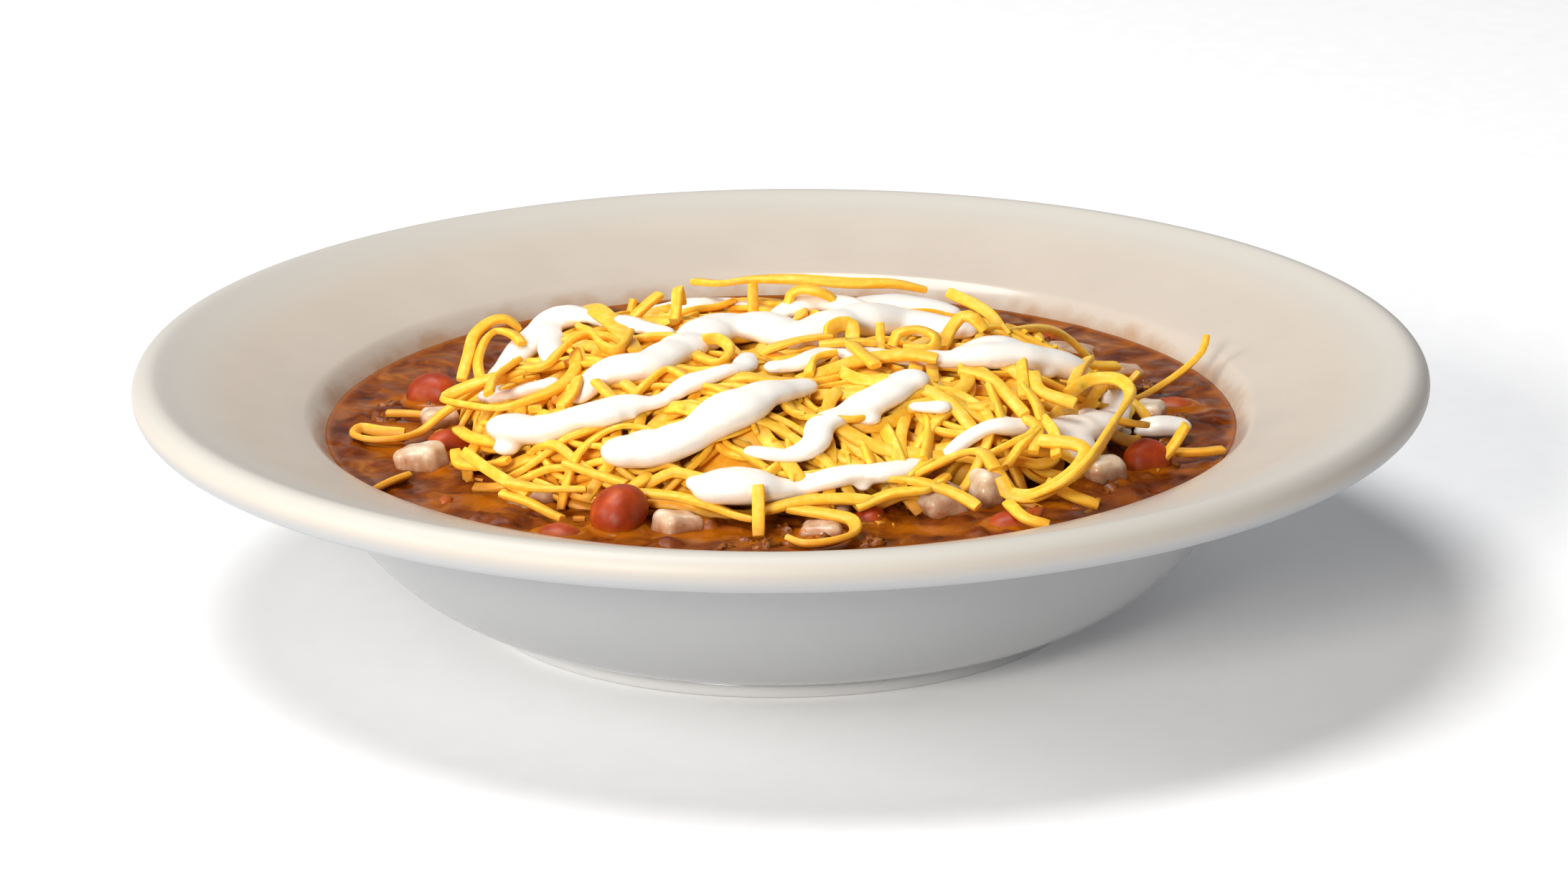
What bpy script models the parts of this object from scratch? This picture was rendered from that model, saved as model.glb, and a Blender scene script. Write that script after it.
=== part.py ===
"""Chili con carne in its rim soup bowl, topped with grated cheese and sour cream.

Metres, +Z up.  The origin is on the bowl's axis, on the plane its foot stands on,
and the front of the dish faces -Y.  The chili fills the well up to its level.  The
cheese is one heap standing on it, the ribbons of sour cream lie in the heap, and
the beans and onion dice sit in the chili round the heap's edge.
"""
import math

import bmesh
import bpy
from mathutils import Euler, Vector, noise

MM = 0.001

# Driving dimensions.
RIM_RADIUS = 117.5 * MM          # outside of the rolled lip
RIM_HEIGHT = 46.4 * MM           # top of the rolled lip
LIP_RADIUS = 3.4 * MM            # half the thickness of the roll
FLANGE_END = 86.8 * MM           # where the flange turns down into the well
FLANGE_SLOPE = 0.326             # rise over run of the flange's upper face
FOOT_RADIUS = 55.0 * MM
FOOT_TOP_RADIUS = 59.2 * MM
FOOT_HEIGHT = 4.1 * MM
FOOT_RECESS = 3.4 * MM           # underside of the floor above the table
FLOOR_HEIGHT = 7.6 * MM          # middle of the well's floor
FLOOR_RADIUS = 52.0 * MM         # where the well's curve meets its nearly flat floor
FLOOR_RISE = 1.2 * MM            # of the floor at that radius
FLANGE_MELT = 4.5 * MM           # how far the flange's slope carries on into the well's curve
CHILI_LEVEL = 33.4 * MM
CHILI_UNEVEN = 0.9 * MM          # rise and fall of the chili's surface
HEAP_HEIGHT = 17.0 * MM          # cheese above the chili
HEAP_RADIUS = 59.3 * MM          # mean radius of the heap's uneven outline
HEAP_MIDDLE = Vector((2.0 * MM, -7.0 * MM, 0.0))
HEAP_LUMPS = 1.8 * MM            # rise and fall of the heap's top
HEAP_LUMP_SIZE = 17.0 * MM
SHOULDER_HEIGHT = 3.2 * MM       # the heap's extra lump behind its left side
SHOULDER_MIDDLE = Vector((-43.0 * MM, 20.0 * MM, 0.0))
SHOULDER_SIZE = 13.0 * MM
ONION_BAY = math.radians(-56)    # where two onion dice stand in a bay of the heap's edge
SHRED = 2.2 * MM                 # thickness of one shred of cheese
GAP = 0.3 * MM                   # between pieces that touch
ROOM = 1.5 * GAP                 # how far a cutter's corners stand out from its piece
RIBBON_FLATNESS = 0.62           # a ribbon's height over its width
SEGMENTS = 40                    # round the bowl, the chili and the heap
RIBBON_SIDES = 6
STATION_SPACING = 6.0 * MM       # along a ribbon

LIP_MIDDLE = (RIM_RADIUS - LIP_RADIUS, RIM_HEIGHT - LIP_RADIUS)


def clear_scene():
    for thing in list(bpy.data.objects):
        bpy.data.objects.remove(thing, do_unlink=True)


def material(name, colour, roughness):
    """A Principled material with one colour and one roughness."""
    made = bpy.data.materials.new(name)
    made.use_nodes = True
    shader = made.node_tree.nodes["Principled BSDF"]
    shader.inputs["Base Color"].default_value = (*colour, 1.0)
    shader.inputs["Roughness"].default_value = roughness
    shader.inputs["Metallic"].default_value = 0.0
    return made


def bezier(ends, handles, steps):
    """Points along a cubic curve in the (radius, height) plane."""
    points = []
    for step in range(steps + 1):
        t = step / steps
        a, b, c, d = (1 - t) ** 3, 3 * t * (1 - t) ** 2, 3 * t * t * (1 - t), t ** 3
        points.append(tuple(a * ends[0][i] + b * handles[0][i] + c * handles[1][i] + d * ends[1][i]
                            for i in (0, 1)))
    return points


def arc(middle, radius, start, end, steps):
    """Points on an arc in the (radius, height) plane, angles in degrees."""
    points = []
    for step in range(steps + 1):
        angle = math.radians(start + (end - start) * step / steps)
        points.append((middle[0] + radius * math.cos(angle), middle[1] + radius * math.sin(angle)))
    return points


def finish_object(name, bm, finish, sharp_degrees=40.0):
    """Turn a bmesh into a smooth-shaded object with one material."""
    bmesh.ops.recalc_face_normals(bm, faces=bm.faces)
    mesh = bpy.data.meshes.new(name)
    bm.to_mesh(mesh)
    bm.free()
    mesh.shade_smooth()
    mesh.set_sharp_from_angle(angle=math.radians(sharp_degrees))
    mesh.materials.append(finish)
    made = bpy.data.objects.new(name, mesh)
    bpy.context.scene.collection.objects.link(made)
    return made


def bridge(bm, lower, upper):
    """Quads between two rings, or triangles where one ring is a single vertex."""
    count = max(len(lower), len(upper))
    for i in range(count):
        j = (i + 1) % count
        if len(lower) == 1:
            bm.faces.new((lower[0], upper[j], upper[i]))
        elif len(upper) == 1:
            bm.faces.new((lower[i], lower[j], upper[0]))
        else:
            bm.faces.new((lower[i], lower[j], upper[j], upper[i]))


def ring_mesh(rings):
    """A closed mesh from rings of points that run from one pole to the other."""
    bm = bmesh.new()
    previous = None
    for ring in rings:
        current = [bm.verts.new(point) for point in ring]
        if previous:
            bridge(bm, previous, current)
        previous = current
    return bm


def angle_at(step):
    return 2 * math.pi * step / SEGMENTS


def turned_ring(radius, height):
    if radius < MM:
        return [Vector((0, 0, height))]
    return [Vector((radius * math.cos(angle_at(s)), radius * math.sin(angle_at(s)), height))
            for s in range(SEGMENTS)]


# The bowl: one turned piece of thick white ware with a foot ring, a deep well, a
# sloping flange and a rolled lip.

def flange_height(radius):
    return FLANGE_TOP + (radius - FLANGE_END) * FLANGE_SLOPE


LIP_BLEND = LIP_MIDDLE[0] - 1.0 * MM
FLANGE_TOP = RIM_HEIGHT - 0.9 * MM - (LIP_BLEND - 2.0 * MM - FLANGE_END) * FLANGE_SLOPE


def well_profile():
    """The inside from the flange's inner end down to the middle of the floor."""
    top = (FLANGE_END, FLANGE_TOP)
    floor_edge = (FLOOR_RADIUS, FLOOR_HEIGHT + FLOOR_RISE)
    top_handle = (FLANGE_END - FLANGE_MELT, FLANGE_TOP - FLANGE_MELT * FLANGE_SLOPE)
    floor_handle = (76.5 * MM, 19 * MM)
    return bezier((top, floor_edge), (top_handle, floor_handle), 6) + [(0.0, FLOOR_HEIGHT)]


def bowl_profile():
    """From the middle of the underside, out over the lip, and back to the floor."""
    foot = [(0.0, FOOT_RECESS), (FOOT_RADIUS - 7 * MM, FOOT_RECESS), (FOOT_RADIUS - 5 * MM, 0.0),
            (FOOT_RADIUS, 0.0)]
    body = bezier(((FOOT_TOP_RADIUS, FOOT_HEIGHT), (FLANGE_END, 29.3 * MM)),
                  ((69.2 * MM, 8.2 * MM), (79.1 * MM, 17.7 * MM)), 5)
    under_flange = [(109.3 * MM, 39.0 * MM)]
    lip = arc(LIP_MIDDLE, LIP_RADIUS, -110, 115, 6)
    flange = [(LIP_BLEND - 2.0 * MM, flange_height(LIP_BLEND - 2.0 * MM)),
              (LIP_BLEND - 6.0 * MM, flange_height(LIP_BLEND - 6.0 * MM))]
    return foot + body + under_flange + lip + flange + well_profile()


def make_bowl():
    ware = material("glazed_ware", (0.83, 0.77, 0.68), 0.18)
    rings = [turned_ring(radius, height) for radius, height in bowl_profile()]
    return finish_object("bowl", ring_mesh(rings), ware)


# The heap's outline and height, which the chili, the heap and the cream share.

def outline(angle):
    """Radius of the heap's uneven edge about its middle: wide, with four soft corners."""
    oval = 6.0 * MM * math.cos(2 * angle)
    corners = -2.3 * MM * math.cos(4 * angle)
    ragged = 1.3 * MM * math.sin(7 * angle + 0.8) + 0.9 * MM * math.sin(13 * angle)
    bay = 5.5 * MM * math.exp(-((math.remainder(angle - ONION_BAY, 2 * math.pi)) / 0.14) ** 2)
    return HEAP_RADIUS + oval + corners + ragged - bay


def heap_point(angle, share, height):
    """A point at a share of the outline's radius and a height above the table."""
    reach = outline(angle) * share
    return HEAP_MIDDLE + Vector((reach * math.cos(angle), reach * math.sin(angle), height))


def heap_height(x, y):
    """Height of the heap above the chili: steep at its edge, lumpy on its broad top."""
    from_middle = Vector((x, y, 0.0)) - HEAP_MIDDLE
    away = from_middle.length / outline(math.atan2(from_middle.y, from_middle.x))
    if away >= 1.0:
        return 0.0
    mound = HEAP_HEIGHT * (1 - away ** 4) ** 0.9
    from_shoulder = (Vector((x, y, 0.0)) - SHOULDER_MIDDLE).length / SHOULDER_SIZE
    shoulder = SHOULDER_HEIGHT * math.exp(-from_shoulder ** 2)
    lumps = HEAP_LUMPS * noise.noise(Vector((x, y, 0.0)) / HEAP_LUMP_SIZE)
    return mound + (lumps + shoulder) * (1 - away ** 6)


# The chili: fills the well to its level, a little uneven where it shows.

def chili_side():
    """The well's profile moved in by the gap, from the level down to the axis."""
    wall = well_profile()
    moved = []
    for before, here, after in zip(wall, wall[1:-1], wall[2:]):
        along = Vector(after) - Vector(before)
        inwards = Vector((along.y, -along.x)).normalized() * GAP
        if here[1] + inwards.y < CHILI_LEVEL - MM:
            moved.append((here[0] + inwards.x, here[1] + inwards.y))
    return moved + [(0.0, FLOOR_HEIGHT + GAP)]


def well_radius(height):
    """Radius of the well's wall at a height."""
    wall = well_profile()
    for (r_high, z_high), (r_low, z_low) in zip(wall, wall[1:]):
        if z_low <= height <= z_high:
            return r_low + (r_high - r_low) * (height - z_low) / (z_high - z_low)
    return wall[0][0]


def make_chili():
    stew = material("chili", (0.25, 0.085, 0.035), 0.3)
    under_heap = [heap_point(angle_at(s), 1.02, CHILI_LEVEL) for s in range(SEGMENTS)]
    edge = turned_ring(well_radius(CHILI_LEVEL) - 1.4 * GAP, CHILI_LEVEL)
    rings = [[HEAP_MIDDLE + Vector((0, 0, CHILI_LEVEL))], under_heap]
    for share in (0.25, 0.5, 0.75):
        ring = [inner.lerp(outer, share) for inner, outer in zip(under_heap, edge)]
        for point in ring:
            point.z += CHILI_UNEVEN * noise.noise(point / (9 * MM))
        rings.append(ring)
    rings.append(edge)
    rings += [turned_ring(r, z) for r, z in chili_side()]
    return finish_object("chili", ring_mesh(rings), stew)


# The cheese: a low heap of shreds, one solid out to its uneven outline.

def make_cheese():
    cheese = material("grated_cheese", (0.92, 0.55, 0.05), 0.45)
    bottom = CHILI_LEVEL + GAP
    rings = [[HEAP_MIDDLE + Vector((0, 0, bottom))]]
    for share, height in ((0.96, 0.0), (1.0, 0.4 * SHRED), (0.985, SHRED)):
        rings.append([heap_point(angle_at(s), share, bottom + height) for s in range(SEGMENTS)])
    for share in (0.95, 0.87, 0.72, 0.5, 0.25):
        ring = [heap_point(angle_at(s), share, CHILI_LEVEL) for s in range(SEGMENTS)]
        for point in ring:
            point.z += max(heap_height(point.x, point.y), 1.3 * SHRED)
        rings.append(ring)
    top = heap_height(HEAP_MIDDLE.x, HEAP_MIDDLE.y)
    rings.append([HEAP_MIDDLE + Vector((0, 0, CHILI_LEVEL + top))])
    return finish_object("cheese", ring_mesh(rings), cheese)


# The sour cream: thick ribbons poured over the heap.  Each is a list of
# (x, y, half width) in millimetres that the ribbon passes through.

RIBBONS = {
    "sour_cream_1": [[(-36, -27, 1.7), (-31, -20, 3.4), (-24, -20, 4.1), (-17, -8, 4.3),
                      (-11, 3, 4.6), (-4, 3, 4.6), (3, -4, 4.3), (10, 1, 4.6), (18, 8, 4.8),
                      (26, 8, 4.1), (33, 3, 2.9)],
                     [(1, 15, 2.6), (7, 18, 3.4), (13, 14, 3.4), (18, 9, 3.6)]],
    "sour_cream_2": [[(-48, -31, 4.1), (-43, -35, 4.3), (-37, -37, 3.6), (-32, -38, 4.3),
                      (-28, -36, 3.1), (-22, -35, 2.2), (-17, -31, 2.4), (-12, -28, 2.4),
                      (-7, -24, 2.2), (-6, -17, 1.9)]],
    "sour_cream_3": [[(-28, -47, 4.8), (-22, -47, 5.0), (-15, -45, 4.8), (-8, -42, 4.8),
                      (-2, -36, 4.3), (4, -30, 2.9)]],
    "sour_cream_4": [[(-5, -50, 1.7), (1, -50, 2.2), (6, -48, 2.6), (7, -44, 2.6),
                      (11, -40, 2.9), (17, -36, 3.6), (23, -30, 3.6)]],
    "sour_cream_5": [[(-13, -56, 5.0), (-7, -56, 5.3), (0, -55, 3.4), (6, -54, 2.6),
                      (12, -53, 2.9), (18, -52, 3.4), (23, -49, 2.4)]],
    "sour_cream_6": [[(29, -46, 1.4), (35, -43, 2.0), (41, -39, 2.6), (46, -35, 3.0),
                      (51, -32, 3.8), (55, -27, 4.2), (58, -20, 3.6), (60, -12, 3.0),
                      (60, -5, 2.2)]],
    "sour_cream_7": [[(-1, -22, 1.9), (4, -20, 2.4), (8, -14, 2.4), (15, -14, 2.4),
                      (22, -14, 2.6), (30, -15, 3.4), (38, -13, 4.1), (46, -10, 4.1),
                      (52, -8, 3.1)]],
    "sour_cream_8": [[(-53, -7, 2.0), (-50, 2, 2.6), (-46, 11, 2.9), (-41, 18, 3.4),
                      (-34, 14, 2.6), (-27, 5, 2.3), (-21, 0, 1.7)],
                     [(-43, 15, 2.9), (-42, 6, 2.4), (-42, -2, 1.9)],
                     [(-53, -7, 1.8), (-48, -13, 2.0), (-41, -16, 1.7)]],
    "sour_cream_9": [[(-19, 22, 1.9), (-14, 25, 2.4), (-8, 27, 1.9)]],
    "sour_cream_10": [[(-33, 31, 3.1), (-22, 34, 3.8), (-8, 36, 3.6), (6, 34, 4.1),
                       (20, 32, 3.8), (31, 29, 2.9)]],
    "sour_cream_11": [[(67, -12, 2.9), (71, -12, 2.9)]],
}


def smooth_path(points):
    """Evenly spaced (x, y, half width) on a Catmull-Rom curve through the points."""
    points = [Vector(point) * MM for point in points]
    first, last = 2 * points[0] - points[1], 2 * points[-1] - points[-2]
    guides = [first] + points + [last]
    path = []
    for i in range(1, len(guides) - 2):
        before, here, there, after = guides[i - 1:i + 3]
        steps = max(1, round((there - here).length / STATION_SPACING))
        for step in range(steps):
            t = step / steps
            path.append(0.5 * (2 * here + (there - before) * t
                               + (2 * before - 5 * here + 4 * there - after) * t ** 2
                               + (3 * here - before - 3 * there + after) * t ** 3))
    return path + [points[-1]]


def ribbon_mesh(path):
    """A thick ribbon that lies sunk by a third in the heap, with rounded ends."""
    stations = smooth_path(path)
    rings = []
    last = len(stations) - 1
    for i, (x, y, half) in enumerate(stations):
        along = (stations[min(i + 1, last)] - stations[max(i - 1, 0)]).xy.normalized()
        across = Vector((-along.y, along.x, 0.0))
        middle = Vector((x, y, CHILI_LEVEL + max(heap_height(x, y), 0.8 * SHRED) + 0.25 * half))
        tip = Vector((*along, 0.0)) * half * 0.7
        reach = half * 0.62 if i in (0, last) else half
        ring = []
        for side in range(RIBBON_SIDES):
            angle = 2 * math.pi * (side + 0.5) / RIBBON_SIDES
            ring.append(middle + across * reach * math.cos(angle)
                        + Vector((0, 0, RIBBON_FLATNESS * reach * math.sin(angle))))
        if i == 0:
            rings.append([middle - tip])
        rings.append(ring)
        if i == last:
            rings.append([middle + tip])
    return ring_mesh(rings)


def make_sour_cream():
    cream = material("sour_cream", (0.95, 0.93, 0.88), 0.3)
    ribbons = []
    for name, paths in RIBBONS.items():
        made = finish_object(name, ribbon_mesh(paths[0]), cream)
        ribbons.append(made)
        for path in paths[1:]:
            branch = finish_object(name + "_branch", ribbon_mesh(path), cream)
            add_boolean(made, branch, "UNION")
            ribbons.append(branch)
    return ribbons


# The beans and the onion dice, each as (x, y, height of its middle above the chili,
# length, width, height, heading, tilt) in millimetres and degrees.

BEANS = [
    (-28.0, -60.0, 2.2, 11.6, 9.6, 8.6, 62, 16),
    (-64.0, 15.0, 1.0, 10.4, 8.0, 7.6, -16, 4),
    (-60.0, -15.0, 0.2, 8.4, 7.0, 6.2, 8, 0),
    (-38.5, -64.5, -1.4, 10.0, 7.6, 6.4, -14, 0),
    (15.5, -57.5, -0.5, 7.6, 5.6, 5.4, 78, 0),
    (65.0, -28.5, 0.8, 9.0, 7.8, 7.6, 16, 4),
    (72.0, 7.5, -1.4, 9.6, 7.4, 5.8, -12, 0),
    (49.5, 51.0, -1.6, 9.8, 7.2, 6.6, -20, 0),
    (40.0, -61.0, -1.0, 10.4, 7.8, 6.4, 4, 0),
    (-27.0, 62.0, -1.2, 10.5, 8.0, 7.2, 24, 0),
]
ONIONS = [
    (-64.0, -24.5, 0.9, 7.8, 5.8, 5.2, -32, 20),
    (-62.0, 1.0, 0.0, 5.8, 5.0, 4.8, 12, 6),
    (-43.5, -47.0, -0.3, 6.2, 5.6, 5.0, 38, 14),
    (-18.0, -61.5, -0.6, 7.4, 6.2, 5.8, 30, -8),
    (7.0, -64.0, -1.2, 6.4, 5.4, 4.6, -8, 4),
    (8.5, -54.5, -0.8, 6.6, 4.8, 4.4, -10, 4),
    (28.2, -52.8, 0.9, 6.6, 6.0, 6.4, 24, 24),
    (35.8, -49.0, 2.0, 5.6, 5.4, 6.6, 42, -14),
    (57.5, -35.5, 0.4, 6.0, 5.8, 6.2, 16, 8),
    (67.0, -1.5, 0.5, 5.8, 5.0, 5.8, 70, 6),
    (54.5, 43.0, -1.6, 9.0, 6.2, 4.8, -12, 0),
    (63.5, 29.0, -1.6, 7.6, 6.2, 4.8, 6, 0),
    (6.0, 63.0, -0.9, 8.2, 7.0, 5.6, 30, 8),
    (-38.0, 53.0, -0.5, 7.8, 6.6, 5.8, -40, 10),
]


def placed(bm, row):
    """Move a shape made at the origin to its row's place, heading and tilt."""
    x, y, lift, _, _, _, heading, tilt = row
    turn = Euler((0, math.radians(-tilt), math.radians(heading))).to_matrix().to_4x4()
    place = Vector((x * MM, y * MM, CHILI_LEVEL + lift * MM))
    bmesh.ops.transform(bm, matrix=turn, verts=bm.verts)
    bmesh.ops.translate(bm, vec=place, verts=bm.verts)
    return bm


def bean_mesh(length, width, height):
    """An oval bean, bent a little and notched on its inner side."""
    bm = bmesh.new()
    bmesh.ops.create_uvsphere(bm, u_segments=8, v_segments=6, radius=1.0)
    for vert in bm.verts:
        x, y, z = vert.co.y, vert.co.z, vert.co.x
        notch = 1 - 0.22 * math.exp(-(x / 0.45) ** 2) * max(0.0, -y)
        bend = 0.12 * (x * x - 0.3)
        vert.co = Vector((x * length / 2, (y * notch - bend) * width / 2, z * height / 2))
    return bm


def onion_mesh(length, width, height):
    """A dice cut from a curved layer: a bevelled block with uneven ends."""
    bm = bmesh.new()
    bmesh.ops.create_cube(bm, size=1.0)
    for vert in bm.verts:
        x, y, z = vert.co
        narrow = 0.88 if x > 0 else 1.0
        arch = 0.12 * (1 - 4 * y * y)
        vert.co = Vector((x * length, y * width * narrow, (z + arch) * height * (1.05 - 0.2 * x)))
    bmesh.ops.bevel(bm, geom=bm.edges, offset=0.14 * height, segments=1, affect='EDGES')
    return bm


def make_garnish(kind, rows, mesh_of, finish, sharp_degrees):
    """One object for each row, numbered from 1."""
    made = []
    for number, row in enumerate(rows, 1):
        size = [value * MM for value in row[3:6]]
        made.append(finish_object(f"{kind}_{number}", placed(mesh_of(*size), row), finish,
                                  sharp_degrees))
    return made


def make_beans():
    skin = material("bean_skin", (0.42, 0.06, 0.03), 0.25)
    return make_garnish("bean", BEANS, bean_mesh, skin, 40.0)


def make_onions():
    flesh = material("onion", (0.78, 0.68, 0.58), 0.3)
    return make_garnish("onion", ONIONS, onion_mesh, flesh, 20.0)


# Room for the garnish: the chili and the heap are cut round a grown copy of each piece.

def add_boolean(target, other, operation):
    other.hide_render = True
    other.display_type = 'WIRE'
    cut = target.modifiers.new(other.name, 'BOOLEAN')
    cut.operation = operation
    cut.object = other
    cut.solver = 'EXACT'


def reaches(piece, target):
    """Whether the boxes of two objects come within a gap of each other."""
    boxes = []
    for item in (piece, target):
        points = [vert.co for vert in item.data.vertices]
        boxes.append([(min(p[i] for p in points), max(p[i] for p in points)) for i in range(3)])
    return all(a[0] - GAP < b[1] and b[0] - GAP < a[1] for a, b in zip(*boxes))


def cut_room(targets, pieces):
    for piece in pieces:
        bm = bmesh.new()
        bm.from_mesh(piece.data)
        for vert in bm.verts:
            vert.co = vert.co + vert.normal * ROOM
        room = finish_object(piece.name + "_room", bm, piece.data.materials[0])
        room.hide_render = True
        room.display_type = 'WIRE'
        for target in targets:
            if reaches(room, target):
                add_boolean(target, room, "DIFFERENCE")


clear_scene()
make_bowl()
chili = make_chili()
cheese = make_cheese()
garnish = make_sour_cream() + make_beans() + make_onions()
cut_room((chili, cheese), garnish)
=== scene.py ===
"""A rim soup bowl of chili con carne, topped with grated cheese and sour cream.

Metres and +Z up, in the part's own frame.  The sections follow the dish as it is put
together: the table and light, the bowl, the chili, the cheese, the cream, the garnish.
"""
import math

import bpy
import numpy as np
from mathutils import Matrix, Vector, noise


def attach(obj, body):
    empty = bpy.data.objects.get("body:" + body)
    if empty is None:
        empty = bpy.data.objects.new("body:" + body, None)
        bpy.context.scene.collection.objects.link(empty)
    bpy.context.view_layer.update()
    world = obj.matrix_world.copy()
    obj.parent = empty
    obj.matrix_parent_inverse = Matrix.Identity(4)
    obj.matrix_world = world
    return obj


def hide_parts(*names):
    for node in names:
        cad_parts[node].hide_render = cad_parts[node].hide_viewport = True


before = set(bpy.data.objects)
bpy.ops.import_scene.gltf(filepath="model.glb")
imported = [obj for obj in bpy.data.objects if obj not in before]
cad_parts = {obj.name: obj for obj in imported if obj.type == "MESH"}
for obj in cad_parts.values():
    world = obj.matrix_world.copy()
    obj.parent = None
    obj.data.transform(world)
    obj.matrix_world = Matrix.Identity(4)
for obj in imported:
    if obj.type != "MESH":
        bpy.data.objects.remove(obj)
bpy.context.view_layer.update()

# ---------------------------------------------------------------------------------
# The table top, the light and the camera.  A plain white sheet on a studio table, one
# softbox over it and one at its left, a low lamp at the front left, a dim white panel
# behind that the wet food shines with, and a long lens seen from a diner's height.

MM = 0.001


def linear(hex_colour):
    """An sRGB hex colour as linear RGBA."""
    values = [int(hex_colour[i:i + 2], 16) / 255 for i in (1, 3, 5)]
    return (*[v / 12.92 if v <= 0.04045 else ((v + 0.055) / 1.055) ** 2.4 for v in values], 1.0)


def add_node(finish, kind, links=None, values=None, stops=None, **settings):
    """A node with its settings, its sockets' values, its links and its ramp's stops."""
    node = finish.node_tree.nodes.new("ShaderNode" + kind)
    for name, value in settings.items():
        setattr(node, name, value)
    for socket, value in (values or {}).items():
        node.inputs[socket].default_value = value
    for socket, source in (links or {}).items():
        plug(finish, source, node, socket)
    if stops:
        while len(node.color_ramp.elements) < len(stops):
            node.color_ramp.elements.new(0.5)
        for element, (position, colour) in zip(node.color_ramp.elements, stops):
            element.position = position
            element.color = linear(colour)
    return node


def new_finish(name, **values):
    """A material, its Principled shader with the values given, and the piece's own places."""
    finish = bpy.data.materials.new(name)
    finish.use_nodes = True
    shader = finish.node_tree.nodes["Principled BSDF"]
    for socket, value in values.items():
        shader.inputs[socket.replace("_", " ")].default_value = value
    return finish, shader, add_node(finish, "TexCoord").outputs["Object"]


def plug(finish, source, node, socket):
    """Link an output, or a node's first output, to a socket."""
    output = source.outputs[0] if isinstance(source, bpy.types.Node) else source
    finish.node_tree.links.new(output, node.inputs[socket])


def build_mesh(name, points, faces, finish, smooth=True):
    """An object from points in millimetres and faces."""
    mesh = bpy.data.meshes.new(name)
    mesh.from_pydata([tuple(p) for p in np.asarray(points) * MM], [], [list(f) for f in faces])
    mesh.update()
    if smooth:
        mesh.shade_smooth()
    mesh.materials.append(finish)
    made = bpy.data.objects.new(name, mesh)
    bpy.context.scene.collection.objects.link(made)
    return made


# A colour Mix node's inputs for its two colours, and its colour output.
UNDER, OVER, MIXED = 6, 7, 2

# White matt card, lit a little from behind: its fibres give it a very faint mottle.
card, card_shader, card_place = new_finish("white_card", Roughness=0.85,
                                           Emission_Color=(1, 1, 1, 1), Emission_Strength=0.08)
mottle = add_node(card, "TexNoise", {"Vector": card_place},
                  {"Scale": 1 / (6.0 * MM), "Detail": 3.0})
tone = add_node(card, "ValToRGB", {"Fac": mottle}, stops=[(0.3, "#F6F6F6"), (0.7, "#FAFAFA")])
plug(card, tone, card_shader, "Base Color")
CARD_REACH = 3000
floor = build_mesh("table_top", [(CARD_REACH * x, CARD_REACH * y, 0)
                                 for x, y in ((-1, -1), (1, -1), (1, 1), (-1, 1))],
                   [(0, 1, 2, 3)], card, smooth=False)

scene = bpy.context.scene
scene.view_settings.view_transform = "Standard"
world = bpy.data.worlds.new("studio")
world.use_nodes = True
scene.world = world
sky = world.node_tree.nodes["Background"]
sky.inputs["Color"].default_value = linear("#F4F7FF")
sky.inputs["Strength"].default_value = 0.17


def add_softbox(name, place, target, size, watts, colour):
    lamp = bpy.data.lights.new(name, "AREA")
    lamp.shape = "DISK"
    lamp.size = size
    lamp.energy = watts
    lamp.color = linear(colour)[:3]
    made = bpy.data.objects.new(name, lamp)
    made.location = place
    made.rotation_euler = (Vector(target) - Vector(place)).to_track_quat("-Z", "Y").to_euler()
    scene.collection.objects.link(made)


add_softbox("key_lamp", (-0.66, -1.55, 0.69), (0.0, 0.0, 0.03), 0.5, 22.0, "#FFFAF2")
add_softbox("side_softbox", (-1.4, -0.45, 0.7), (0.0, 0.0, 0.0), 0.5, 8.5, "#FFFFFF")
add_softbox("back_panel", (0.0, 1.5, 0.6), (0.0, 0.0, 0.03), 1.4, 1.3, "#FFFFFF")
add_softbox("top_softbox", (-0.4, 0.05, 1.45), (0.0, 0.0, 0.0), 0.8, 17.0, "#FFFFFF")

lens = bpy.data.cameras.new("camera")
lens.lens = 148.0
lens.sensor_width = 36.0
lens.clip_start = 0.05
camera = bpy.data.objects.new("camera", lens)
camera.matrix_world = (Matrix.Translation((0.0, -1.12136, 0.38175))
                       @ Matrix.Rotation(math.radians(-0.027), 4, "Z")
                       @ Matrix.Rotation(math.radians(72.62), 4, "X")
                       @ Matrix.Rotation(math.radians(-0.477), 4, "Z"))
scene.collection.objects.link(camera)
scene.camera = camera

# ---------------------------------------------------------------------------------
# The bowl.  Thick stoneware, turned on a wheel, with an ivory glaze fired on it: a foot
# ring, a deep well, a broad sloping flange and a rolled lip.

LIP_MIDDLE = (114.1, 43.0)
LIP_RADIUS = 3.4
FLANGE_END = 86.8
FLANGE_SLOPE = 0.326
FLANGE_TOP = 37.58
FLOOR_HEIGHT = 7.6
BOWL_STEPS = 256


def bezier(start, first, second, end, steps):
    """Points along a cubic curve, without its last one."""
    t = np.linspace(0, 1, steps, endpoint=False)[:, None]
    start, first, second, end = (np.array(p, float) for p in (start, first, second, end))
    return list((1 - t) ** 3 * start + 3 * t * (1 - t) ** 2 * first
                + 3 * t * t * (1 - t) * second + t ** 3 * end)


def arc(middle, radius, start, end, steps):
    """Points on an arc from one angle to another, in degrees."""
    return [np.array((middle[0] + radius * math.cos(math.radians(a)),
                      middle[1] + radius * math.sin(math.radians(a))))
            for a in np.linspace(start, end, steps)]


def well_profile(steps):
    return bezier((FLANGE_END, FLANGE_TOP), (82.3, FLANGE_TOP - 4.5 * FLANGE_SLOPE), (76.5, 19.0),
                  (52.0, 8.8), steps) + [np.array((52.0, 8.8))]


def ring_of(radius, height, steps):
    """Points evenly round the axis."""
    return [(radius * math.cos(a), radius * math.sin(a), height)
            for a in np.arange(steps) * 2 * math.pi / steps]


def band(low, high, steps):
    """The faces between two rings of points, given where each ring starts."""
    return [(low + i, low + (i + 1) % steps, high + (i + 1) % steps, high + i)
            for i in range(steps)]


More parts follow.
